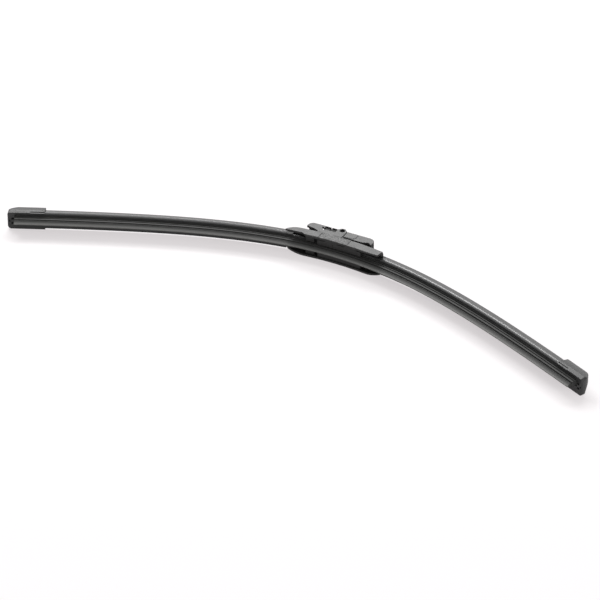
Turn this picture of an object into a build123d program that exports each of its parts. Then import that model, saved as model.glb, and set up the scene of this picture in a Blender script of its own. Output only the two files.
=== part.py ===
from build123d import *
import math
import os

# Blade length and bow, measured along the spring strips
blade_length = 600.0
crown_radius = 266.0
glass_radius = 4270.0
arcs_each_side = 6

# Spring strips
strip_width = 3.3
strip_thickness = 0.8
strip_end_gap = 1.8
strip_fit = 0.05

# Wiping rubber, from the head down to the lip
rubber_end_gap = 0.4
head_half = 2.2
head_height = 1.5
web_half = 1.1
flange_half = 3.0
flange_height = 1.0
waist_half = 1.5
waist_height = 1.5
ridge_half = 2.6
upper_ridge_height = 1.1
groove_half = 1.4
groove_height = 1.0
lower_ridge_height = 1.9
neck_half = 0.75
neck_height = 1.0
shoulder_half = 2.1
shoulder_height = 0.6
lip_root_half = 1.8
lip_tip_half = 0.35
lip_height = 3.65

# Spoiler section, heights above the strips and distances from the blade's centre plane
crest_height = 8.6
crest_lee = 3.4
crest_windward = 0.6
crest_drop = 0.4
lee_half = 5.7
lee_shoulder = 1.0
lee_bead = 0.6
lee_hollow = 0.3
windward_reach = 11.0
wing_inset = 0.7
wing_thickness = 1.0
flank_hollow = 2.0
claw_overlap = 1.0
claw_thickness = 0.6
claw_chamfer = 0.5
spoiler_end_gap = 2.8
spoiler_gap = 0.4

# End caps
cap_length = 33.5
cap_block_length = 6.5
cap_crest_rise = 2.4
cap_lee_rise = 0.9
cap_wing_rise = 1.4
cap_wing_drop = 1.6
cap_side_depth = 2.0
cap_mouth_half = 3.9
cap_window_length = 13.0
cap_crest_round = 11.8
cap_floor_round = 1.0
cap_corner = 3.5
cap_fit = 0.15
slot_length = 2.6
slot_width = 2.0
slot_depth = 1.8
slot_pitch = 4.4
slot_centre = -2.6
slot_inset = 0.4
tip_slot_inset = 3.9
tip_slot_length = 1.2

# Strip bridge with the pivot's ears
bridge_half_length = 27.0
bridge_half = 6.7
bridge_top = 3.2
bridge_claw = 1.2
bridge_claw_gap = 2.0
ear_inner = 3.1
ear_thickness = 2.0
ear_radius = 4.2

# Connector housing
housing_half_length = 47.0
lee_reach = 11.0
deck_thickness = 1.0
deck_lee = 8.2
deck_windward = 7.5
skirt_thickness = 1.8
skirt_chamfer = 0.8
lee_skirt_depth = 6.3
lee_skirt_shoulder = 3.2
lee_nose_length = 11.5
lee_nose_depth = 3.0
lee_step_along = 26.5
lee_step_run = 4.5
lee_step_depth = 3.7
lee_taper_along = 31.5
lee_taper_depth = 4.5
windward_skirt_depth = 6.9
windward_skirt_shoulder = 0.5
ledge_height = 1.2
bulkhead_length = 6.0
housing_fit = 0.1
well_margin = 1.2
skirt_left_round = 24.0
skirt_right_round = 13.0
belly_left = -15.2
belly_right = 29.0
belly_depth = 5.6
belly_mouth_half = 3.3
belly_gap_length = 7.5
belly_gap_pitch = 19.5
belly_gap_width = 1.2
belly_gap_height = 2.4
foot_left = -27.5
foot_right = -18.8
foot_depth = 4.4
panel_half = 14.2
panel_line_width = 0.5
panel_line_depth = 0.3

# Pivot pin
pivot_along = -2.6
pivot_height = 8.0
pin_radius = 2.5
pin_press = 0.01
pin_running = 0.05

# Arm adapter
adapter_clearance = 0.6
adapter_wall = 2.0
adapter_plate = 1.8
adapter_top = 19.0
adapter_bottom = 7.6
tongue_left = -34.8
tongue_low = 11.8
tongue_knee = -26.4
tongue_knee_low = 10.5
tongue_root = -21.0
tongue_round = 5.0
tongue_tip = 2.3
hood_start = 3.0
hood_right = 30.6
hood_bottom = 9.2
hood_round = 5.5
hood_seam = 14.0
hood_seam_round = 4.0
notch_start = 21.5
notch_run = 4.0
notch_height = 1.8
seam_width = 0.6
seam_depth = 0.35
tray_gap = 0.6
tray_thickness = 1.5
side_pin_radius = 2.38
side_pin_running = 0.07
arm_bore_height = 18.0
barrel_wall = 1.2
clip_wall = 1.8
clip_gap = 0.4
clip_mouth = 4.1
boss_half = 4.4
boss_rise = 0.35
pocket_width = 5.2
pocket_height = 5.0
pocket_depth = 1.1
pocket_floor = 13.3
finger_gap = 0.8
finger_gap_depth = 1.6
slit_width = 1.5
slit_radius = 5.6
slit_rise = 4.6
slit_end = 1.5

half_length = blade_length / 2
block_start = half_length - cap_block_length
arc_step = half_length / arcs_each_side
centre_height = windward_reach
windward_half = windward_reach - wing_inset
strip_edge = web_half + strip_fit + strip_width
grip_edge = strip_edge + strip_fit
grip_low = strip_thickness + strip_fit
arm_bore_radius = side_pin_radius + side_pin_running
# Reach of the cuts that go right through
beyond = 2 * windward_reach


def law_heading(s):
    # Angle that the pre-bent strips have turned through at distance s from the middle
    share = min(s / half_length, 1.0)
    crown_turn = half_length / crown_radius / 3 * (1 - (1 - share) ** 3)
    return crown_turn + s / glass_radius


def station(s):
    # Place and heading on the tangent arcs that stand for the strips' changing curvature
    x, y, turned = 0.0, 0.0, 0.0
    rest = abs(s)
    for index in range(arcs_each_side):
        start_turn = law_heading(index * arc_step)
        curvature = (law_heading((index + 1) * arc_step) - start_turn) / arc_step
        length = rest if index == arcs_each_side - 1 else min(rest, arc_step)
        turn = curvature * length
        chord = 2 * math.sin(turn / 2) / curvature
        x += chord * math.cos(turned + turn / 2)
        y -= chord * math.sin(turned + turn / 2)
        turned += turn
        rest -= length
    side = math.copysign(1, s)
    return side * x, y, side * turned


def section_plane(s):
    # Local x is the height above the strips, local y the distance towards the lee side
    x, y, turned = station(s)
    across = (math.sin(turned), math.cos(turned), 0)
    forward = (math.cos(turned), -math.sin(turned), 0)
    return Plane(origin=(x, y, centre_height), x_dir=across, z_dir=forward)


def run(section, start, end):
    # A section swept along the bow from one station to another
    joints = [index * arc_step for index in range(1 - arcs_each_side, arcs_each_side)]
    cuts = [start] + [joint for joint in joints if start < joint < end] + [end]
    arcs = []
    for a, b in zip(cuts, cuts[1:]):
        places = [section_plane(s).origin for s in (a, (a + b) / 2, b)]
        arcs.append(ThreePointArc(*places))
    return sweep(section_plane(start) * section, path=Wire(arcs))


def slab(sketch, low, high):
    # A side view extruded across the blade, between two distances from the centre plane
    return extrude(Pos(0, 0, centre_height + low) * sketch, high - low)


def band(top, bottom, half):
    return Pos((top + bottom) / 2, 0) * Rectangle(top - bottom, 2 * half)


def side_box(left, right, bottom, top):
    return Pos((left + right) / 2, (bottom + top) / 2) * Rectangle(right - left, top - bottom)


def rubber_section():
    level = strip_fit
    section = band(level + head_height, level, head_half)
    steps = [
        (strip_thickness + 2 * strip_fit, web_half),
        (flange_height, flange_half),
        (waist_height, waist_half),
        (upper_ridge_height, ridge_half),
        (groove_height, groove_half),
        (lower_ridge_height, ridge_half),
        (neck_height, neck_half),
        (shoulder_height, shoulder_half),
    ]
    for height, half in steps:
        section += band(level, level - height, half)
        level -= height
    tip = level - lip_height
    lip = [(level, lip_root_half), (tip, lip_tip_half), (tip, -lip_tip_half), (level, -lip_root_half)]
    return section + make_face(Polyline(*lip, close=True))


def wiping_rubber():
    end = block_start - rubber_end_gap
    return run(rubber_section(), -end, end)


def spring_strip(side):
    middle = strip_edge - strip_width / 2
    section = Pos(-strip_thickness / 2, side * middle) * Rectangle(strip_thickness, strip_width)
    end = block_start - strip_end_gap
    return run(section, -end, end)


def channel():
    # Room for both strips and the rubber's head, open towards the lip between the claws
    slot = band(strip_fit, -grip_low, grip_edge)
    head = band(2 * strip_fit + head_height, 0, head_half + strip_fit)
    mouth = band(0, -beyond, strip_edge - claw_overlap)
    return slot + head + mouth


def claw_block(half, thickness):
    low = -grip_low - thickness
    inset = half - claw_chamfer
    waist = low + claw_chamfer
    outline = [(0, half), (waist, half), (low, inset), (low, -inset), (waist, -half), (0, -half)]
    return make_face(Polyline(*outline, close=True))


def fairing(crest, lee_corner, foot, edge_top, edge_low):
    # Steep lee flank over a slanting bead, narrow crest and long hollow windward flank, straight below
    span = math.dist(edge_top, crest)
    lean = flank_hollow / span
    mid_n = (edge_top[0] + crest[0]) / 2 - lean * (crest[1] - edge_top[1])
    mid_w = (edge_top[1] + crest[1]) / 2 + lean * (crest[0] - edge_top[0])
    lee_n = (lee_corner[0] + foot[0]) / 2
    lee_w = (lee_corner[1] + foot[1]) / 2 - lee_hollow
    lines = [
        ThreePointArc(edge_top, (mid_n, mid_w), crest),
        Line(crest, lee_corner),
        ThreePointArc(lee_corner, (lee_n, lee_w), foot),
        Polyline(foot, (edge_low[0], foot[1] - lee_bead), edge_low, edge_top),
    ]
    return make_face(lines)


def spoiler_outline():
    body = fairing(
        (crest_height, crest_windward),
        (crest_height - crest_drop, crest_lee),
        (lee_shoulder, lee_half),
        (0, -windward_half),
        (-wing_thickness, -windward_half),
    )
    return body + claw_block(lee_half - lee_bead, claw_thickness)


def spoiler(side):
    inner = housing_half_length + spoiler_gap
    outer = block_start - spoiler_end_gap
    ends = sorted((side * inner, side * outer))
    return run(spoiler_outline() - channel(), *ends)


def cap_outline():
    body = fairing(
        (crest_height + cap_crest_rise, crest_windward),
        (crest_height + cap_crest_rise - crest_drop, crest_lee + cap_lee_rise),
        (lee_shoulder + cap_lee_rise, lee_half + cap_lee_rise),
        (cap_wing_rise, -windward_reach),
        (-cap_wing_drop, -windward_reach),
    )
    side = lee_half + cap_lee_rise - lee_bead
    return body + band(0, -cap_side_depth, side)


def rounded_end(plane, side, low, low_round, high, high_round):
    # Prism across the cap whose two corners at the tip are rounded
    sketch = Pos((low + high) / 2, 0) * Rectangle(high - low, cap_length)
    for edge, radius in ((low, low_round), (high, high_round)):
        corner = sketch.vertices().sort_by_distance((edge, side * cap_length / 2))[0]
        sketch = fillet(corner, radius)
    return extrude(plane * sketch, beyond, both=True)


def end_cap(side):
    inner = half_length - cap_length
    middle = half_length - cap_length / 2
    frame = section_plane(side * middle)
    lee = lee_half + cap_lee_rise
    crest = crest_height + cap_crest_rise

    def stretch(section, near, far):
        start = min(side * near, side * far) - side * middle
        return extrude(frame * Pos(0, 0, start) * section, far - near)

    cavity = offset(spoiler_outline(), cap_fit, kind=Kind.INTERSECTION)
    cavity += band(0, -beyond, cap_mouth_half)
    window = side_box(-beyond, 0, lee_half, beyond)
    body = stretch(cap_outline(), inner, half_length)
    body -= stretch(cavity, inner, block_start)
    body -= stretch(window, inner, inner + cap_window_length)
    for offset_across, inset, length in (
        (-slot_pitch / 2, slot_inset, slot_length),
        (slot_pitch / 2, slot_inset, slot_length),
        (0, tip_slot_inset, tip_slot_length),
    ):
        left = slot_centre + offset_across - slot_width / 2
        slot = side_box(-cap_side_depth, slot_depth - cap_side_depth, left, left + slot_width)
        start = block_start + inset
        body -= stretch(slot, start, start + length)
    plan = Plane(frame.origin, x_dir=frame.x_dir, z_dir=-frame.y_dir)
    face = Plane(frame.origin, x_dir=frame.y_dir, z_dir=frame.x_dir)
    body &= rounded_end(plan, side, -cap_side_depth, cap_floor_round, crest, cap_crest_round)
    return body & rounded_end(face, side, -windward_reach, cap_corner, lee, cap_corner)


def strip_bridge():
    section = band(bridge_top, 0, bridge_half) + claw_block(bridge_half, bridge_claw) - channel()
    body = run(section, -bridge_half_length, bridge_half_length)
    gap = side_box(-bridge_claw_gap / 2, bridge_claw_gap / 2, -beyond, -grip_low)
    body -= slab(gap, -beyond, beyond)
    ear = Pos(pivot_along, pivot_height) * Circle(ear_radius)
    ear += side_box(pivot_along - ear_radius, pivot_along + ear_radius, bridge_top / 2, pivot_height)
    ear -= Pos(pivot_along, pivot_height) * Circle(pin_radius + pin_press)
    for low in (ear_inner, -ear_inner - ear_thickness):
        body += slab(ear, low, low + ear_thickness)
    return body


def skirt_corner(side, length):
    # What is cut away to give an end of the windward skirt its boat-shaped round
    tip_x, tip_y, turned = station(side * housing_half_length)
    low_x, low_y, _ = station(side * (housing_half_length - length))
    start = (low_x, low_y - windward_skirt_depth)
    end = (tip_x + side * wing_thickness, tip_y + wing_thickness)
    corner = (end[0], start[1] - windward_skirt_depth)
    below = (start[0], corner[1])
    heading = (math.cos(turned), -side * math.sin(turned))
    curve = TangentArc(start, end, tangent=(side * heading[0], heading[1]))
    return make_face([curve, Polyline(end, corner, below, start)])


def place(s, height):
    # Point of the side view at a height above the strips
    x, y, turned = station(s)
    return x + height * math.sin(turned), y + height * math.cos(turned)


def lee_nose():
    # What is cut away to round the lee skirt's left end down to its tip
    root = lee_nose_length - housing_half_length
    start = place(root, lee_skirt_shoulder)
    end = place(-housing_half_length, -lee_nose_depth)
    turned = station(root)[2]
    curve = TangentArc(start, end, tangent=(-math.cos(turned), math.sin(turned)))
    outside = (end[0] - beyond, end[1])
    above = (start[0], beyond)
    return make_face([curve, Polyline(end, outside, above, start)])


def lee_belly_cuts():
    # What is cut away below the lee skirt: a stepped left end and a tapered right end
    step = lee_step_along + lee_step_run
    left = [
        place(-housing_half_length - lee_step_run, -lee_nose_depth),
        place(-step, -lee_step_depth),
        place(-lee_step_along, -lee_skirt_depth),
        (-lee_step_along, -beyond),
        (-housing_half_length - lee_step_run, -beyond),
    ]
    right = [
        place(lee_taper_along, -lee_skirt_depth),
        place(housing_half_length, -lee_taper_depth),
        (housing_half_length, -beyond),
        (lee_taper_along, -beyond),
    ]
    return [make_face(Polyline(*points, close=True)) for points in (left, right)]


def connector_housing():
    deck_low = bridge_top + housing_fit
    deck_top = deck_low + deck_thickness
    wall = bridge_half + housing_fit
    lee_inner = lee_reach - skirt_thickness
    windward_inner = windward_reach - skirt_thickness
    outline = [
        (deck_top, deck_lee),
        (lee_skirt_shoulder, lee_reach),
        (-lee_skirt_depth + skirt_chamfer, lee_reach),
        (-lee_skirt_depth, lee_reach - skirt_chamfer),
        (-lee_skirt_depth, lee_inner),
        (ledge_height, lee_inner),
        (ledge_height, wall),
        (deck_low, wall),
        (deck_low, -wall),
        (ledge_height, -wall),
        (ledge_height, -windward_inner),
        (-windward_skirt_depth, -windward_inner),
        (-windward_skirt_depth, -windward_reach),
        (-windward_skirt_shoulder, -windward_reach),
        (deck_top, -deck_windward),
    ]
    body = run(make_face(Polyline(*outline, close=True)), -housing_half_length, housing_half_length)
    bulkhead = spoiler_outline() - channel()
    inner = housing_half_length - bulkhead_length
    body += run(bulkhead, inner, housing_half_length)
    body += run(bulkhead, -housing_half_length, -inner)
    for side, length in ((-1, skirt_left_round), (1, skirt_right_round)):
        body -= slab(skirt_corner(side, length), -windward_reach, -windward_inner)
    body -= slab(lee_nose(), lee_half, lee_reach)
    for cut in lee_belly_cuts():
        body -= slab(cut, lee_inner, lee_reach)
    belly_top = -grip_low - bridge_claw - housing_fit
    for left, right, depth in ((belly_left, belly_right, belly_depth), (foot_left, foot_right, foot_depth)):
        belly = side_box(-depth, belly_top, belly_mouth_half, lee_inner + skirt_chamfer)
        belly += side_box(-depth, belly_top, -windward_inner - skirt_chamfer, -belly_mouth_half)
        for face in belly.faces():
            body += run(face, left, right)
    gap = side_box(-beyond, belly_gap_height - belly_depth, lee_inner - belly_gap_width, lee_inner)
    gap_left = belly_left
    while gap_left < belly_right:
        body -= run(gap, gap_left, min(gap_left + belly_gap_length, belly_right))
        gap_left += belly_gap_pitch
    joint = side_box(-beyond, panel_line_depth - belly_depth, belly_mouth_half, lee_inner)
    body -= run(joint, -panel_line_width / 2, panel_line_width / 2)
    for side in (-1, 1):
        middle = side * panel_half
        line = side_box(middle - panel_line_width / 2, middle + panel_line_width / 2, -beyond, beyond)
        body -= slab(line, lee_reach - panel_line_depth, lee_reach)
        body -= slab(line, -windward_reach, panel_line_depth - windward_reach)
    well = ear_radius + well_margin
    hole = side_box(pivot_along - well, pivot_along + well, 0, crest_height)
    well_half = ear_inner + ear_thickness + clip_gap
    return body - slab(hole, -well_half, well_half)


def pivot_pin():
    half = ear_inner + ear_thickness
    return slab(Pos(pivot_along, pivot_height) * Circle(pin_radius), -half, half)


def adapter_outline():
    # Side view: flat top with round ends, and a tongue on the left that thins to its tip
    top_left = (tongue_left, adapter_top)
    top_right = (hood_right, adapter_top)
    outline = [
        top_left,
        top_right,
        (hood_right, hood_bottom),
        (hood_start, hood_bottom),
        (hood_start, adapter_bottom),
        (tongue_root, adapter_bottom),
        (tongue_knee, tongue_knee_low),
        (tongue_left, tongue_low),
    ]
    face = make_face(Polyline(*outline, close=True))
    face = fillet(face.vertices().sort_by_distance(top_left)[0], tongue_round)
    return fillet(face.vertices().sort_by_distance(top_right)[0], hood_round)


def pin_clip(tray_low):
    # Snap clip that is pressed over the pivot pin from above
    centre = Pos(pivot_along, pivot_height)
    half = pin_radius + pin_running + clip_wall
    body = centre * Circle(half) + side_box(pivot_along - half, pivot_along + half, pivot_height, tray_low)
    body -= centre * Circle(pin_radius + pin_running)
    mouth = clip_mouth / 2
    return body - side_box(pivot_along - mouth, pivot_along + mouth, pivot_height - 2 * half, pivot_height)


def arm_adapter():
    inner = ear_inner + ear_thickness + adapter_clearance
    outer = inner + adapter_wall
    face = outer + boss_rise
    outline = adapter_outline()
    bore = Pos(pivot_along, arm_bore_height)
    barrel = bore * Circle(arm_bore_radius + barrel_wall)
    boss_left = pivot_along - boss_half
    boss_right = pivot_along + boss_half
    boss = outline & side_box(boss_left, boss_right, 0, adapter_top)
    tray_low = pivot_height + ear_radius + tray_gap
    tray = side_box(boss_left - pocket_width, hood_right, tray_low, tray_low + tray_thickness)
    roof = outline - Pos(0, -adapter_plate) * outline
    tip = tongue_left + tongue_tip
    tongue = roof & side_box(tip, tongue_knee, 0, adapter_top)
    hood = roof & side_box(hood_start, hood_right, 0, adapter_top)
    ends = outline & side_box(hood_right - adapter_plate, hood_right, 0, adapter_top)
    ends += outline & side_box(tip, tip + adapter_plate, 0, adapter_top)
    notch_end = notch_start + notch_run
    notch = [
        (notch_start, hood_bottom),
        (notch_end, hood_bottom + notch_height),
        (hood_right - adapter_plate, hood_bottom + notch_height),
        (hood_right - adapter_plate, hood_bottom),
    ]
    wall = outline + barrel - make_face(Polyline(*notch, close=True))
    body = slab(wall, -outer, -inner) + slab(wall, inner, outer)
    for sheet in (tray & outline, tongue, hood, ends, barrel):
        body += slab(sheet, -inner, inner)
    clip_half = ear_inner - clip_gap
    body += slab(pin_clip(tray_low), -clip_half, clip_half)
    body += slab(boss + barrel, outer, face) + slab(boss + barrel, -face, -outer)

    def carve(sketch, depth):
        return slab(sketch, outer - depth, outer) + slab(sketch, -outer, depth - outer)

    for index in (1, 2):
        left = boss_left - index * (pocket_width + finger_gap)
        right = left + pocket_width
        pocket = side_box(left, right, pocket_floor, pocket_floor + pocket_height)
        body -= carve(pocket, pocket_depth)
        body -= carve(side_box(right, right + finger_gap, pocket_floor, adapter_top), finger_gap_depth)
    panel = side_box(boss_right + seam_width, hood_seam, hood_bottom + seam_width, beyond)
    panel = fillet(panel.vertices().sort_by_distance((hood_seam, hood_bottom))[0], hood_seam_round)
    groove = panel - Pos(-seam_width, seam_width) * panel
    groove += side_box(boss_right, boss_right + seam_width, adapter_bottom, adapter_top)
    body -= carve(groove, seam_depth)
    ring = Circle(slit_radius + slit_width / 2) - Circle(slit_radius - slit_width / 2)
    ring &= side_box(-beyond, -slit_end, -beyond, -slit_end)
    body -= slab(Pos(tongue_root + slit_radius, pocket_floor + slit_rise) * ring, -outer, outer)
    return body - slab(bore * Circle(arm_bore_radius), -face, face)


nodes = {
    "wiping_rubber": wiping_rubber(),
    "lee_spring_strip": spring_strip(1),
    "windward_spring_strip": spring_strip(-1),
    "left_spoiler": spoiler(-1),
    "right_spoiler": spoiler(1),
    "left_end_cap": end_cap(-1),
    "right_end_cap": end_cap(1),
    "strip_bridge": strip_bridge(),
    "connector_housing": connector_housing(),
    "pivot_pin": pivot_pin(),
    "arm_adapter": arm_adapter(),
}

# The footprint's centre goes over the origin, with the side that the blade lies on at height zero
box = Compound(list(nodes.values())).bounding_box()
shift = Pos(-(box.min.X + box.max.X) / 2, -(box.min.Y + box.max.Y) / 2, -box.min.Z)
os.makedirs("parts", exist_ok=True)
for name, solid in nodes.items():
    export_step(shift * solid, f"parts/{name}.step")
print("size", box.size, "shift", shift.position)
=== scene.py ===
# %% [markdown]
# # A flat wiper blade lying on a white table
#
# The blade is a long bowed sandwich: a black rubber with a thin wiping lip, two spring strips that bend it,
# two soft fairings clipped over the strips, a cap on each end, and a moulded connector in the middle.
# The exact solids come in as a fixed frame. Blender gives them soft edges, finishes, light and a camera.
# Everything is in metres, in the frame's own axes: X along the blade, Y towards the connector, Z up.

# %% Load the frame
import math
import bmesh
import bpy
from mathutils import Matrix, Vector
from mathutils.geometry import intersect_line_line_2d, intersect_point_line


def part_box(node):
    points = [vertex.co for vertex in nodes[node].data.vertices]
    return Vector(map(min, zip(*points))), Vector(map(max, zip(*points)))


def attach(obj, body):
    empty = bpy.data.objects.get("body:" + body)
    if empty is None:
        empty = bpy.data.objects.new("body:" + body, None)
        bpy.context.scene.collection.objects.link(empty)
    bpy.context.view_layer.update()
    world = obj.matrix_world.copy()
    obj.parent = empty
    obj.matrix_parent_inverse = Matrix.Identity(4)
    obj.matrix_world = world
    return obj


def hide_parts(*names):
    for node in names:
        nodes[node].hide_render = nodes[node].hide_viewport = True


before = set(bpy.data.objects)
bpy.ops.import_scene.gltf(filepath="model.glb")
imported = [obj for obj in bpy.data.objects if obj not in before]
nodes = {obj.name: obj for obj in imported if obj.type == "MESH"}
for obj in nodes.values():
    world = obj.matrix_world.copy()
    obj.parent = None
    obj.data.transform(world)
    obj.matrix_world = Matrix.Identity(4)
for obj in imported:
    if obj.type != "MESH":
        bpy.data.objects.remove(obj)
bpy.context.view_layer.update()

scene = bpy.context.scene
MM = 0.001
print("solids:", sorted(nodes))

# %% [markdown]
# ## The camera
# The picture was taken from well back with a long lens, so the bow hardly shrinks with distance.
# A camera could be placed by eye, but its place was worked out by matching the blade's long edges,
# so here it only needs a place, a point to look at and a focal length.
# Both points are measured from the top of the bow, where the strips' line crosses the middle of the blade.

# %% Camera
strip_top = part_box("lee_spring_strip")[1].y
bow_top = Vector((0.0, strip_top, 0.0))
camera_place = bow_top + Vector((1266.9, -2402.6, 1695.5)) * MM
camera_aim = bow_top + Vector((4.4, -73.5, 0.0)) * MM
camera_data = bpy.data.cameras.new("long_lens")
camera_data.sensor_width = 36.0
camera_data.lens = 217.4
camera_data.clip_start = 0.05
camera_data.clip_end = 50.0
camera = bpy.data.objects.new("camera", camera_data)
camera.location = camera_place
camera.rotation_euler = (camera_aim - camera_place).to_track_quat("-Z", "Y").to_euler()
scene.collection.objects.link(camera)
scene.camera = camera
print("camera is", round((camera_place - camera_aim).length, 2), "m away")

# %% [markdown]
# ## Arithmetic for node trees
# A finish is a small graph of nodes. Wiring every sum by hand hides the idea, so one class wraps a socket
# and gives it the usual operators: each operator adds the Math node that it stands for.
# Every other node comes from one method, which sets its options first and then its sockets.

# %% A socket that can be used in sums
class Signal:
    def __init__(self, socket):
        self.socket = socket
        self.tree = socket.id_data

    @classmethod
    def make(cls, tree, kind, settings=None, inputs=None, output=0):
        node = tree.nodes.new(kind)
        for name, value in (settings or {}).items():
            setattr(node, name, value)
        for key, value in (inputs or {}).items():
            if isinstance(value, Signal):
                tree.links.new(value.socket, node.inputs[key])
            else:
                node.inputs[key].default_value = value
        return cls(node.outputs[output])

    def _sum(self, operation, first, second):
        return Signal.make(self.tree, "ShaderNodeMath", {"operation": operation}, {0: first, 1: second})

    def __add__(self, other):
        return self._sum("ADD", self, other)

    def __sub__(self, other):
        return self._sum("SUBTRACT", self, other)

    def __rsub__(self, other):
        return self._sum("SUBTRACT", other, self)

    def __mul__(self, other):
        return self._sum("MULTIPLY", self, other)

    __radd__ = __add__
    __rmul__ = __mul__


def new_finish(name):
    material = bpy.data.materials.new(name)
    material.use_nodes = True
    material.node_tree.nodes.clear()
    return material, material.node_tree


def close_finish(tree, shader):
    output = tree.nodes.new("ShaderNodeOutputMaterial")
    tree.links.new(shader.socket, output.inputs["Surface"])


print("node arithmetic is ready")

# %% [markdown]
# ## Table
# The blade lies on a white table and throws a soft shadow. The table could be lit until it burns out to
# white, but that would flood the blade with light too. Instead it shows a share of plain white to the camera
# and in mirrored rays, and keeps its shadow.

# %% Table
table_half = 6.0
table_paint = (0.92, 0.92, 0.92, 1)
table_white = (1, 0.95, 0.965, 1)
white_share = 0.56


def white_rays(tree):
    rays = [Signal.make(tree, "ShaderNodeLightPath", output=name)
            for name in ("Is Camera Ray", "Is Glossy Ray", "Is Transmission Ray")]
    return rays[0] + rays[1] + rays[2]


def table_finish():
    material, tree = new_finish("white_table")
    paper = Signal.make(tree, "ShaderNodeBsdfDiffuse", inputs={"Color": table_paint})
    white = Signal.make(tree, "ShaderNodeEmission", inputs={"Color": table_white, "Strength": 1.0})
    share = white_rays(tree) * white_share
    close_finish(tree, Signal.make(tree, "ShaderNodeMixShader", inputs={0: share, 1: paper, 2: white}))
    return material


table_mesh = bpy.data.meshes.new("table")
table_corners = [(x * table_half, y * table_half, 0) for x, y in ((-1, -1), (1, -1), (1, 1), (-1, 1))]
table_mesh.from_pydata(table_corners, [], [(0, 1, 2, 3)])
table = bpy.data.objects.new("table", table_mesh)
table_mesh.materials.append(table_finish())
scene.collection.objects.link(table)
print("table is", 2 * table_half, "m wide")

# %% [markdown]
# ## Soft boxes and room
# A black product on white is lit by big soft boxes, so that its edges are drawn by reflections. Small lamps
# could give as much light, but they would leave hot spots on the rubber. The room works like the table: it
# lights the blade gently, and looks white where the blade mirrors it.

# %% Soft boxes and room
room_light = 0.3


def soft_box(name, place, size, power):
    # A lamp that faces the middle of the blade
    light = bpy.data.lights.new(name, "AREA")
    light.shape = "RECTANGLE"
    light.size, light.size_y = size
    light.energy = power
    lamp = bpy.data.objects.new(name, light)
    lamp.location = place
    lamp.rotation_euler = (-Vector(place)).to_track_quat("-Z", "Y").to_euler()
    scene.collection.objects.link(lamp)


soft_box("left_box", (-1.86, 0.88, 2.18), (1.0, 1.0), 34)
soft_box("back_box", (-1.0, 1.85, 1.65), (2.0, 0.7), 70)
soft_box("front_box", (0.3, -2.2, 1.6), (3.5, 1.5), 10)
soft_box("right_box", (2.4, -1.2, 1.0), (2.4, 1.8), 32)

world = bpy.data.worlds.new("studio")
world.use_nodes = True
room = world.node_tree.nodes["Background"]
room.inputs["Color"].default_value = (1, 1, 1, 1)
room_strength = room_light + white_rays(world.node_tree) * (1.0 - room_light)
world.node_tree.links.new(room_strength.socket, room.inputs["Strength"])
scene.world = world
scene.view_settings.view_transform = "Standard"

# %% [markdown]
# ## Finishes
# Everything here is black, so the finishes differ by sheen and grain. Extruded rubber has long faint streaks
# from the die, which follow the blade. Moulded plastic has a fine spark-eroded grain. The streaks could be
# painted, but a noise that is stretched along the blade costs nothing and never repeats.
# The extrusions carry three numbers for this: the way along the blade, the height over the strips and the
# distance from the middle.

# %% Helpers for finishes
def colour_mix(tree, share, dark, light):
    # The colours of a Mix node go into its sockets 6 and 7, and the mixed colour is its output 2
    inputs = {0: share, 6: (*dark, 1.0), 7: (*light, 1.0)}
    return Signal.make(tree, "ShaderNodeMix", {"data_type": "RGBA"}, inputs, 2)


def number_of(tree, name):
    return Signal.make(tree, "ShaderNodeAttribute", {"attribute_name": name}, output="Fac")


def noise(tree, vector, scale, detail=2.0):
    inputs = {"Vector": vector, "Scale": scale, "Detail": detail}
    return Signal.make(tree, "ShaderNodeTexNoise", inputs=inputs)


def step_between(tree, value, low, high):
    settings = {"interpolation_type": "SMOOTHSTEP"}
    inputs = {"Value": value, "From Min": low, "From Max": high}
    return Signal.make(tree, "ShaderNodeMapRange", settings, inputs)


def object_place(tree):
    return Signal.make(tree, "ShaderNodeTexCoord", output="Object")


def bump(tree, height, depth, strength):
    inputs = {"Height": height, "Distance": depth, "Strength": strength}
    return Signal.make(tree, "ShaderNodeBump", inputs=inputs)


def principled(tree, inputs):
    return Signal.make(tree, "ShaderNodeBsdfPrincipled", inputs=inputs)


print("finish helpers are ready")

# %% [markdown]
# ## Rubber and fairing finishes
# The wiping rubber is dull and black, and its lip is smoother. Its colour is painted greyer towards the tip
# of the lip, a painted light for the lip's flank catching more light than the shaded neck. The fairings are
# satin, with a thin glossy bead along the lee edge that shows as a bright line. Several materials side by
# side could do this, but masks from the stored numbers follow the section exactly and can blend.

# %% Extruded rubber and fairing
def streak_place(tree, stretch, fineness):
    inputs = {
        "X": number_of(tree, "along") * stretch,
        "Y": number_of(tree, "rise") * fineness,
        "Z": number_of(tree, "side") * fineness,
    }
    return Signal.make(tree, "ShaderNodeCombineXYZ", inputs=inputs)


lip_depths = (9.3 * MM, 13.0 * MM)
satin_rises = (-0.1 * MM, 0.3 * MM)
bead_sides = (5.2 * MM, 5.4 * MM)
bead_rises = (0.7 * MM, 1.1 * MM)


def rubber_finish():
    # Dull black, turning smoother from the neck down to the lip, with painted light that makes it greyer
    # there
    material, tree = new_finish("wiping_rubber_black")
    streaks = noise(tree, streak_place(tree, 12.0, 2600.0), 1.0, 3.0)
    clouds = noise(tree, streak_place(tree, 45.0, 160.0), 1.0)
    lip_painted_light_and_gloss = step_between(tree, number_of(tree, "rise") * -1.0, *lip_depths)
    # Painted light: the base colour turns greyer towards the lip's tip, where its flank catches more light
    shade = streaks * 0.14 + clouds * 0.1 + lip_painted_light_and_gloss * 0.78
    rough = 0.62 - lip_painted_light_and_gloss * 0.26 + streaks * 0.12 + clouds * 0.08
    inputs = {
        "Base Color": colour_mix(tree, shade, (0.012, 0.012, 0.0117), (0.1, 0.099, 0.095)),
        "Roughness": rough,
        "Specular IOR Level": 0.36,
        "Normal": bump(tree, streaks, 0.02 * MM, 0.3),
    }
    close_finish(tree, principled(tree, inputs))
    return material


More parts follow.
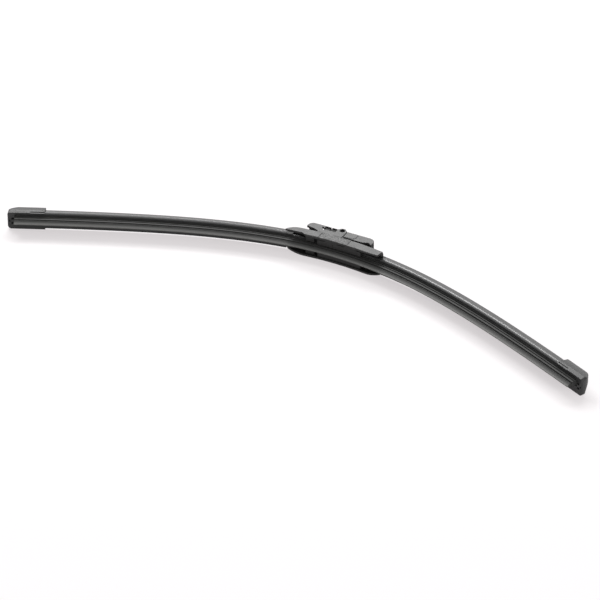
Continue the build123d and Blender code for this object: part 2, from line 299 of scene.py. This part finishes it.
def fairing_finish():
    # Satin above the strips and dull below them, with a glossy bead along the lee edge
    material, tree = new_finish("fairing_black")
    streaks = noise(tree, streak_place(tree, 8.0, 700.0), 1.0)
    clouds = noise(tree, streak_place(tree, 30.0, 120.0), 1.0)
    shade = streaks * 0.45 + clouds * 0.4
    rise, side = number_of(tree, "rise"), number_of(tree, "side")
    above = step_between(tree, rise, *satin_rises)
    bead = above * step_between(tree, side, *bead_sides) * (1.0 - step_between(tree, rise, *bead_rises))
    rough = 0.28 + streaks * 0.05 + clouds * 0.05 + (1.0 - above) * 0.37
    inputs = {
        "Base Color": colour_mix(tree, shade, (0.02, 0.02, 0.02), (0.036, 0.036, 0.0365)),
        "Roughness": rough,
        "Specular IOR Level": 0.4,
        "Coat Weight": bead,
        "Coat Roughness": 0.16,
        "Normal": bump(tree, streaks, 0.01 * MM, 0.12),
    }
    close_finish(tree, principled(tree, inputs))
    return material


rubber_black = rubber_finish()
fairing_black = fairing_finish()
print("finishes:", rubber_black.name, fairing_black.name)

# %% [markdown]
# ## Plastic finishes
# Caps, bridge, housing and adapter come out of moulds with an eroded surface, so they have a fine grain.
# The housing has a coarse panel in the middle of its upper plate, and the adapter has painted shade: it is
# darker below the level of its recess floors, where its recesses, walls and underside lie in shade.
# Either could be a piece of its own, but both end at plain levels, so a mask from the place is enough.

# %% Moulded plastic
panel_half_length = 14.2 * MM
panel_blend = 0.1 * MM
panel_levels = (21.0 * MM, 21.5 * MM)
panel_fineness = 1.1 / MM
painted_recess_shade_levels = (17.6 * MM, 18.4 * MM)


def plastic_finish(name, shade, grain_size, grain_depth, levels=None, panel_half=0.0):
    # A moulding with fine grain. With a panel, it is coarse across its middle above the levels.
    # With levels alone, it is darker with painted shade and duller below them, where the recesses lie in
    # shade.
    material, tree = new_finish(name)
    place = object_place(tree)
    grain = noise(tree, place, 1.0 / grain_size)
    clouds = noise(tree, place, 90.0)
    mixed = grain * 0.45 + clouds * 0.55
    rough = 0.34 + grain * 0.12 + clouds * 0.1
    height = grain
    if levels:
        level = Signal.make(tree, "ShaderNodeSeparateXYZ", inputs={0: place}, output="Z")
        over = step_between(tree, level, *levels)
    if panel_half:
        across = Signal.make(tree, "ShaderNodeSeparateXYZ", inputs={0: place}, output="X")
        reach = Signal.make(tree, "ShaderNodeMath", {"operation": "ABSOLUTE"}, {0: across})
        panel = over * (1.0 - step_between(tree, reach, panel_half - panel_blend, panel_half + panel_blend))
        coarse = noise(tree, place, panel_fineness, 1.0)
        mixed = mixed + panel * (coarse - 0.5) * 3.0
        rough = rough + panel * (coarse - 0.5) * 0.9
        height = height + panel * coarse * 11.0
    elif levels:
        # Painted shade: darker below the levels, in the recesses, on the walls and under the moulding
        mixed = mixed + over - 1.0
        rough = rough + 0.25 - over * 0.25
    dark = tuple(0.5 * part for part in shade)
    light = tuple(1.5 * part for part in shade)
    inputs = {
        "Base Color": colour_mix(tree, mixed, dark, light),
        "Roughness": rough,
        "Specular IOR Level": 0.28,
        "Normal": bump(tree, height, grain_depth, 0.7),
    }
    close_finish(tree, principled(tree, inputs))
    return material


cap_black = plastic_finish("cap_black", (0.027, 0.027, 0.0272), 0.45 * MM, 0.02 * MM)
bridge_black = plastic_finish("bridge_black", (0.013, 0.013, 0.013), 0.45 * MM, 0.02 * MM)
housing_black = plastic_finish(
    "housing_black", (0.019, 0.0187, 0.0184), 0.5 * MM, 0.025 * MM, panel_levels, panel_half_length)
adapter_black = plastic_finish("adapter_black", (0.022, 0.0217, 0.0214), 0.5 * MM, 0.025 * MM, painted_recess_shade_levels)
for finish in (cap_black, bridge_black, housing_black, adapter_black):
    print("finish:", finish.name, "has", len(finish.node_tree.nodes), "nodes")

# %% [markdown]
# ## Steel finishes
# The spring strips are coated black and the pivot pin is bright. Rolling and drawing leave fine lines.
# A picture of brushed metal could show them, but a noise that is squeezed in two directions needs no picture.

# %% Steel
brush_scale = (40.0, 1500.0, 1500.0)


def steel_finish(name, colour, rough, metal):
    # Stock with fine lines along the blade
    material, tree = new_finish(name)
    inputs = {"Vector": object_place(tree), "Scale": brush_scale}
    lines = noise(tree, Signal.make(tree, "ShaderNodeMapping", inputs=inputs), 1.0)
    darker = tuple(0.8 * part for part in colour)
    inputs = {
        "Base Color": colour_mix(tree, lines, darker, colour),
        "Roughness": rough + lines * 0.15,
        "Metallic": metal,
    }
    close_finish(tree, principled(tree, inputs))
    return material


strip_black = steel_finish("coated_spring_steel", (0.05, 0.05, 0.051), 0.35, 0.0)
pin_bright = steel_finish("bright_steel", (0.55, 0.55, 0.56), 0.25, 1.0)
print("finishes:", strip_black.name, pin_bright.name)

# %% [markdown]
# ## The line of the spring strips
# The strips are bent before they are fitted, most in the middle and least at the ends, so that the whole lip
# presses on the glass. That rule gives the line: the turning falls off smoothly from the middle to the tips.
# A hand-drawn curve would look right from one side only, so the same tangent arcs are worked out here again.

# %% Stations along the strips
half_length = 300.0 * MM
crown_radius = 266.0 * MM
glass_radius = 4270.0 * MM
arcs_each_side = 6
arc_step = half_length / arcs_each_side
rubber_low, rubber_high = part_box("wiping_rubber")
middle_height = (rubber_low.z + rubber_high.z) / 2


def heading_at(s):
    share = min(s / half_length, 1.0)
    return half_length / crown_radius / 3 * (1 - (1 - share) ** 3) + s / glass_radius


def station(s):
    # A place on the strips' line, with the way along it and the way up from it
    x, y, turned, rest = 0.0, strip_top, 0.0, abs(s)
    for index in range(arcs_each_side):
        curvature = (heading_at((index + 1) * arc_step) - heading_at(index * arc_step)) / arc_step
        length = rest if index == arcs_each_side - 1 else min(rest, arc_step)
        turn = curvature * length
        chord = 2 * math.sin(turn / 2) / curvature
        x += chord * math.cos(turned + turn / 2)
        y -= chord * math.sin(turned + turn / 2)
        turned += turn
        rest -= length
    side = math.copysign(1.0, s)
    along = Vector((math.cos(turned), -side * math.sin(turned), 0.0))
    up = Vector((side * math.sin(turned), math.cos(turned), 0.0))
    return Vector((side * x, y, middle_height)), along, up


def distance_along(point):
    low, high = -half_length, half_length
    for _ in range(34):
        middle = (low + high) / 2
        place, along, _up = station(middle)
        if (point - place).dot(along) > 0:
            low = middle
        else:
            high = middle
    return (low + high) / 2


print("turn at each tip in degrees:", round(math.degrees(heading_at(half_length)), 1))

# %% [markdown]
# ## Sections of the extrusions
# Rubber and fairing leave the die as one constant section, so the flat end of each solid holds all its shape.
# The section could be typed in again as numbers. Reading the rim of that end keeps the scene true to the
# solid, and then only the corners need a small radius, because no die makes a sharp one.

# %% Read and soften a section
weld_distance = 0.001 * MM
end_tolerance = 0.01 * MM


def end_section(name):
    # The two ends of an extrusion along the strips, and the rim of its right end as height and side distance
    solid = bmesh.new()
    solid.from_mesh(nodes[name].data)
    bmesh.ops.remove_doubles(solid, verts=solid.verts, dist=weld_distance)
    reach = {vert: distance_along(vert.co) for vert in solid.verts}
    start, end = min(reach.values()), max(reach.values())
    flat = {face for face in solid.faces if all(end - reach[vert] < end_tolerance for vert in face.verts)}
    following = {}
    for face in flat:
        for loop in face.loops:
            if loop.link_loop_radial_next.face not in flat:
                following[loop.vert] = loop.link_loop_next.vert
    place, _along, up = station(end)
    vert = next(iter(following))
    rim = []
    for _ in following:
        rim.append(Vector(((vert.co - place).dot(up), vert.co.z - place.z)))
        vert = following[vert]
    solid.free()
    return start, end, rim


def softened(rim, radius, steps=3, least_bend=math.radians(20), edge_share=0.45):
    # The same rim with an arc at each real corner, which takes up no more than its share of the edges there
    result = []
    for before, corner, after in zip(rim[-1:] + rim[:-1], rim, rim[1:] + rim[:1]):
        back, ahead = before - corner, after - corner
        bend = math.pi - back.angle(ahead)
        if bend < least_bend:
            result.append(corner)
            continue
        half = math.tan(bend / 2)
        reach = min(radius * half, edge_share * back.length, edge_share * ahead.length)
        inward = (back.normalized() + ahead.normalized()).normalized()
        centre = corner + inward * (reach / half / math.cos(bend / 2))
        first = corner + back.normalized() * reach - centre
        last = corner + ahead.normalized() * reach - centre
        for index in range(steps + 1):
            ahead_share = math.sin(bend * index / steps) / math.sin(bend)
            back_share = math.sin(bend * (1 - index / steps)) / math.sin(bend)
            result.append(centre + first * back_share + last * ahead_share)
    return result


rubber_radius = 0.2 * MM
fairing_radius = 0.6 * MM
sections = {}
for name, radius in (
    ("wiping_rubber", rubber_radius),
    ("left_spoiler", fairing_radius),
    ("right_spoiler", fairing_radius),
):
    start, end, rim = end_section(name)
    soft_rim = softened(rim, radius)
    sections[name] = start, end, soft_rim
    print(name, "runs from", round(start / MM, 2), "to", round(end / MM, 2), "mm")
    print(name, "has", len(rim), "points round its end and", len(soft_rim), "when softened")

# %% [markdown]
# ## Extrusions by Geometry Nodes
# An extrusion is a section that follows a path, which is just what Curve to Mesh does. The tree takes the
# path as its own geometry, the section as an object, and the spacing of the stations as a size. It also
# stores where each point lies, so that the finish can follow the blade. On this path Curve to Mesh points a
# section's X and Y down and away from us, so the section is drawn half a turn round, and its numbers change
# sign on the way back.

# %% The extrusion tree
def extrusion_tree():
    tree = bpy.data.node_groups.new("extrusion", "GeometryNodeTree")
    kinds = {"Path": "Geometry", "Section": "Object", "Spacing": "Float", "Finish": "Material"}
    for name, kind in kinds.items():
        tree.interface.new_socket(name, in_out="INPUT", socket_type="NodeSocket" + kind)
    tree.interface.new_socket("Extrusion", in_out="OUTPUT", socket_type="NodeSocketGeometry")
    entry = tree.nodes.new("NodeGroupInput")
    path, section, spacing, finish = [Signal(socket) for socket in entry.outputs[:4]]

    def keep(shape, value):
        node = tree.nodes.new("GeometryNodeCaptureAttribute")
        node.capture_items.new("FLOAT", "Value")
        tree.links.new(shape.socket, node.inputs["Geometry"])
        tree.links.new(value.socket, node.inputs["Value"])
        return Signal(node.outputs["Geometry"]), Signal(node.outputs["Value"])

    def store(shape, name, value):
        settings = {"data_type": "FLOAT", "domain": "POINT"}
        inputs = {"Geometry": shape, "Name": name, "Value": value}
        return Signal.make(tree, "GeometryNodeStoreNamedAttribute", settings, inputs)

    line = Signal.make(tree, "GeometryNodeMeshToCurve", inputs={"Mesh": path})
    inputs = {"Curve": line, "Length": spacing}
    line = Signal.make(tree, "GeometryNodeResampleCurve", {"mode": "LENGTH"}, inputs)
    line = Signal.make(tree, "GeometryNodeSetCurveNormal", {"mode": "Z_UP"}, {"Curve": line})
    line, along = keep(line, Signal.make(tree, "GeometryNodeSplineParameter", output="Length"))
    shape = Signal.make(tree, "GeometryNodeObjectInfo", inputs={"Object": section}, output="Geometry")
    shape = Signal.make(tree, "GeometryNodeMeshToCurve", inputs={"Mesh": shape})
    spot = Signal.make(tree, "GeometryNodeInputPosition")
    shape, rise = keep(shape, -1.0 * Signal.make(tree, "ShaderNodeSeparateXYZ", inputs={0: spot}, output="X"))
    shape, side = keep(shape, -1.0 * Signal.make(tree, "ShaderNodeSeparateXYZ", inputs={0: spot}, output="Y"))
    inputs = {"Curve": line, "Profile Curve": shape, "Fill Caps": True}
    body = Signal.make(tree, "GeometryNodeCurveToMesh", inputs=inputs)
    for name, value in (("along", along), ("rise", rise), ("side", side)):
        body = store(body, name, value)
    body = Signal.make(tree, "GeometryNodeRealizeInstances", inputs={"Geometry": body})
    body = Signal.make(tree, "GeometryNodeSetMaterial", inputs={"Geometry": body, "Material": finish})
    leave = tree.nodes.new("NodeGroupOutput")
    tree.links.new(body.socket, leave.inputs[0])
    return tree


extruder = extrusion_tree()
print("extrusion tree has", len(extruder.nodes), "nodes")

# %% [markdown]
# ## Rubber and fairings in place
# The three extrusions follow one line, each between its own two ends. The modifier could stay on them, but
# the result is kept as a plain mesh and the modifier goes. The faces are then shaded smooth except over real
# edges.

# %% Run the extrusions
station_spacing = 3.0 * MM
path_spacing = 1.0 * MM


def line_mesh(name, points, closed):
    mesh = bpy.data.meshes.new(name)
    edges = [(i, i + 1) for i in range(len(points) - 1)]
    if closed:
        edges.append((len(points) - 1, 0))
    mesh.from_pydata(points, edges, [])
    return mesh


def extruded(piece_name, node_name, finish):
    start, end, rim = sections[node_name]
    count = round((end - start) / path_spacing)
    stops = [station(start + (end - start) * i / count)[0] for i in range(count + 1)]
    section = bpy.data.objects.new("section", line_mesh("section", [(-p.x, -p.y, 0) for p in rim], True))
    piece = bpy.data.objects.new(piece_name, line_mesh(piece_name, stops, False))
    scene.collection.objects.link(section)
    scene.collection.objects.link(piece)
    modifier = piece.modifiers.new("extrusion", "NODES")
    modifier.node_group = extruder
    values = {"Section": section, "Spacing": station_spacing, "Finish": finish}
    for socket in extruder.interface.items_tree:
        if socket.in_out == "INPUT" and socket.name in values:
            modifier[socket.identifier] = values[socket.name]
    ready = piece.evaluated_get(bpy.context.evaluated_depsgraph_get())
    mesh = bpy.data.meshes.new_from_object(ready)
    piece.modifiers.remove(modifier)
    piece.data = mesh
    bpy.data.objects.remove(section)
    return piece


def smooth_faces(piece, crease=math.radians(40)):
    # Round shading everywhere except over real edges, with the wide faces leading
    solid = bmesh.new()
    solid.from_mesh(piece.data)
    bmesh.ops.recalc_face_normals(solid, faces=solid.faces)
    for face in solid.faces:
        face.smooth = True
    for edge in solid.edges:
        edge.smooth = len(edge.link_faces) == 2 and edge.calc_face_angle(0.0) < crease
    solid.to_mesh(piece.data)
    solid.free()
    lead = piece.modifiers.new("wide_faces_lead", "WEIGHTED_NORMAL")
    lead.keep_sharp = True


for piece_name, node_name, finish, slot in (
    ("rubber_extrusion", "wiping_rubber", rubber_black, "rubber"),
    ("left_fairing", "left_spoiler", fairing_black, "spoiler"),
    ("right_fairing", "right_spoiler", fairing_black, "spoiler"),
):
    piece = extruded(piece_name, node_name, finish)
    smooth_faces(piece)
    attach(piece, "blade")
    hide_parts(node_name)
    measures = [round(size / MM, 2) for size in piece.dimensions]
    print(piece_name, "has", len(piece.data.polygons), "faces and measures", measures, "mm")

# %% [markdown]
# ## Moulded pieces
# The caps, the bridge, the housing and the adapter are injection mouldings, and every edge of a moulding has
# a small radius that catches the light. The solids have sharp edges, so a copy of each is joined up, its flat
# faces are merged, and a bevel rounds the edges. One radius for all would cut thin webs to pieces, so each
# edge carries a weight: the full radius where the faces beside it are wide, and a share of it where they are
# narrow. The caps have long thin facets, so there only edges with room for the full radius are rounded.

# %% How much radius an edge can take
def room_beside(edge, least_lean=0.5):
    # How far a rounded edge may reach into the faces beside it
    way = (edge.verts[1].co - edge.verts[0].co).normalized()
    room = [face.calc_area() / edge.calc_length() for face in edge.link_faces]
    for loop in edge.link_loops:
        for beside in (loop.link_loop_prev.edge, loop.link_loop_next.edge):
            other = (beside.verts[1].co - beside.verts[0].co).normalized()
            lean = way.cross(other).length
            if lean > least_lean:
                room.append(beside.calc_length() * lean)
    return min(room)


def slides_along(edge, almost_along=0.7):
    # Whether an edge that stays as it is leaves a corner almost along this one, where rounding would run away
    for vert in edge.verts:
        way = (edge.other_vert(vert).co - vert.co).normalized()
        for beside in vert.link_edges:
            kept = beside.smooth or not beside.is_convex
            other = (beside.other_vert(vert).co - vert.co).normalized()
            if beside != edge and kept and other.dot(way) > almost_along:
                return True
    return False


def even_out(soft, weight, rounds=4, most_ratio=1.4):
    # No rounding is much wider than the narrowest one that it meets
    for _ in range(rounds):
        for edge in soft:
            beside = [other[weight] for vert in edge.verts for other in vert.link_edges]
            narrowest = min((share for share in beside if share > 0.0), default=1.0)
            edge[weight] = min(edge[weight], most_ratio * narrowest)


print("edge measures are ready")

# %% [markdown]
# ## Roundings that cross
# Where short edges meet, two roundings can still cross, and the face between them then folds over itself.
# Such a spot could be mended by hand. Here every face's outline is tested for edges that cross, and the
# rounding near them is eased until none do.

# %% Find and ease folds
def outline_crossings(ring, normal, touching=0.001 * MM):
    # The ends of edges of a face's outline that cross, seen along its normal
    across = normal.orthogonal().normalized()
    upward = normal.cross(across)
    flat = [Vector((point.dot(across), point.dot(upward))) for point in ring]
    count = len(ring)
    found = []
    for one in range(count):
        for two in range(one + 2, count - (one == 0)):
            picks = one, (one + 1) % count, two, (two + 1) % count
            a, b, c, d = [flat[pick] for pick in picks]
            apart = min((p - q).length for p in (a, b) for q in (c, d))
            if apart > touching and intersect_line_line_2d(a, b, c, d):
                found += [ring[pick] for pick in picks]
    return found


def folded_spots(piece):
    # Where faces of the rounded piece fold over themselves
    rounded = piece.evaluated_get(bpy.context.evaluated_depsgraph_get())
    mesh = rounded.to_mesh()
    spots = []
    for face in mesh.polygons:
        ring = [mesh.vertices[index].co.copy() for index in face.vertices]
        spots += outline_crossings(ring, face.normal)
    rounded.to_mesh_clear()
    return spots


def gap_to_edge(spot, first, last):
    near, share = intersect_point_line(spot, first, last)
    if share < 0.0:
        near = first
    elif share > 1.0:
        near = last
    return (spot - near).length


def ease_folds(piece, reach, rounds=20, least_weight=0.12):
    # Halves the rounding of the edges near a fold, or drops it once it is slight, until nothing folds
    mesh = piece.data
    weights = mesh.attributes["bevel_weight_edge"].data
    ends = [[mesh.vertices[index].co.copy() for index in edge.vertices] for edge in mesh.edges]
    for _ in range(rounds):
        spots = folded_spots(piece)
        if not spots:
            break
        for weight, (first, last) in zip(weights, ends):
            if weight.value > 0.0 and any(gap_to_edge(spot, first, last) < reach for spot in spots):
                weight.value = weight.value / 2 if weight.value > least_weight else 0.0
        mesh.update_tag()
        bpy.context.view_layer.update()
    soft_count = sum(weight.value > 0.0 for weight in weights)
    print(piece.name, "has", soft_count, "soft edges and", len(spots), "folded spots in the last test")


print("fold test is ready")

# %% [markdown]
# ## Mouldings with soft edges
# Now each moulding is copied, its edges get their weights, and a bevel follows them. Flat shading would show
# every facet and plain smooth shading would smudge the flat faces. Weighted normals give the wide faces the
# most say, so they stay evenly lit up to a soft edge.

# %% Soft-edged copies of the mouldings
moulding_weld = 0.002 * MM
flat_angle = math.radians(1.0)
crease_angle = math.radians(28)
room_share = 0.4
fold_reach = 1.5
wide_face_say = 80


def moulded(piece_name, node_name, finish, body, radius, graded):
    solid = bmesh.new()
    solid.from_mesh(nodes[node_name].data)
    bmesh.ops.remove_doubles(solid, verts=solid.verts, dist=moulding_weld)
    bmesh.ops.dissolve_limit(solid, angle_limit=flat_angle, verts=solid.verts, edges=solid.edges)
    for face in solid.faces:
        face.smooth = True
    weight = solid.edges.layers.float.new("bevel_weight_edge")
    for edge in solid.edges:
        edge.smooth = edge.calc_face_angle(0.0) < crease_angle
    soft = [edge for edge in solid.edges if not edge.smooth and edge.is_convex and not slides_along(edge)]
    for edge in soft:
        share = room_share * room_beside(edge) / radius
        edge[weight] = min(1.0, share) if graded else float(share > 1.0)
    if graded:
        even_out(soft, weight)
    mesh = bpy.data.meshes.new(piece_name)
    solid.to_mesh(mesh)
    solid.free()
    mesh.materials.append(finish)
    piece = bpy.data.objects.new(piece_name, mesh)
    scene.collection.objects.link(piece)
    bevel = piece.modifiers.new("soft_edges", "BEVEL")
    bevel.width = radius
    bevel.segments = 3
    bevel.limit_method = "WEIGHT"
    bevel.use_clamp_overlap = not graded
    bevel.harden_normals = True
    ease_folds(piece, fold_reach * radius)
    lead = piece.modifiers.new("wide_faces_lead", "WEIGHTED_NORMAL")
    lead.keep_sharp = True
    lead.weight = wide_face_say
    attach(piece, body)
    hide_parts(node_name)


for piece_name, node_name, finish, body, slot, radius, graded in (
    ("left_cap", "left_end_cap", cap_black, "blade", "cap_plastic", 0.5 * MM, False),
    ("right_cap", "right_end_cap", cap_black, "blade", "cap_plastic", 0.5 * MM, False),
    ("bridge_moulding", "strip_bridge", bridge_black, "blade", "bridge_plastic", 0.2 * MM, True),
    ("housing_moulding", "connector_housing", housing_black, "blade", "housing_plastic", 0.4 * MM, True),
    ("adapter_moulding", "arm_adapter", adapter_black, "adapter", "adapter_plastic", 0.4 * MM, True),
):
    moulded(piece_name, node_name, finish, body, radius, graded)

# %% [markdown]
# ## Steel pieces
# The strips and the pivot pin are plain stock with the right shape already, so they only take a finish.

# %% Finish the steel
for node_name, finish in (
    ("lee_spring_strip", strip_black),
    ("windward_spring_strip", strip_black),
    ("pivot_pin", pin_bright),
):
    nodes[node_name].data.materials.clear()
    nodes[node_name].data.materials.append(finish)
print("steel pieces have their finish")
